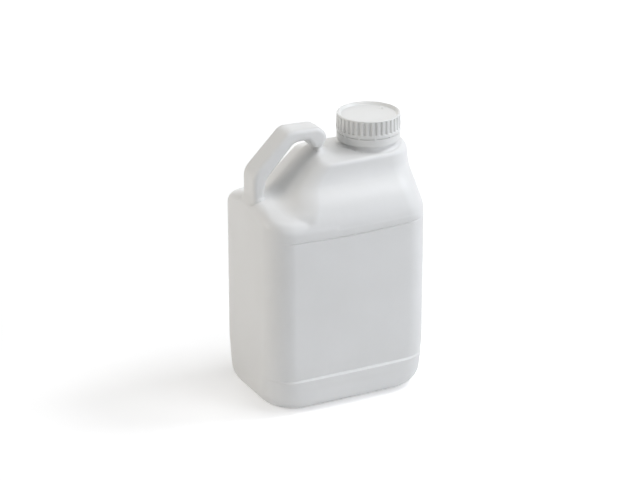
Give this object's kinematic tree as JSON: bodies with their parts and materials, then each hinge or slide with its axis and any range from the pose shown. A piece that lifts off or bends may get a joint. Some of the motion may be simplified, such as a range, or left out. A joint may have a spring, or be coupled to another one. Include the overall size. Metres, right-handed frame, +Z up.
{
  "type": "plastic jerrycan",
  "caption": "Upright plastic jerrycan with rounded walls, a slanted moulded handle over a sloping shoulder, an off-centre neck and a ribbed screw cap with a tamper band.",
  "frame": {"origin": "middle of the base, on the surface that the can stands on", "axes": "+Z up; +X from the handle towards the neck, along the can's broad faces; +Y across its depth"},
  "size_m": [0.186, 0.131, 0.2986],
  "materials": {
    "can": "satin",
    "cap": "satin"
  },
  "bodies": {
    "root": {"can": "can", "cap": "cap"}
  },
  "joints": []
}
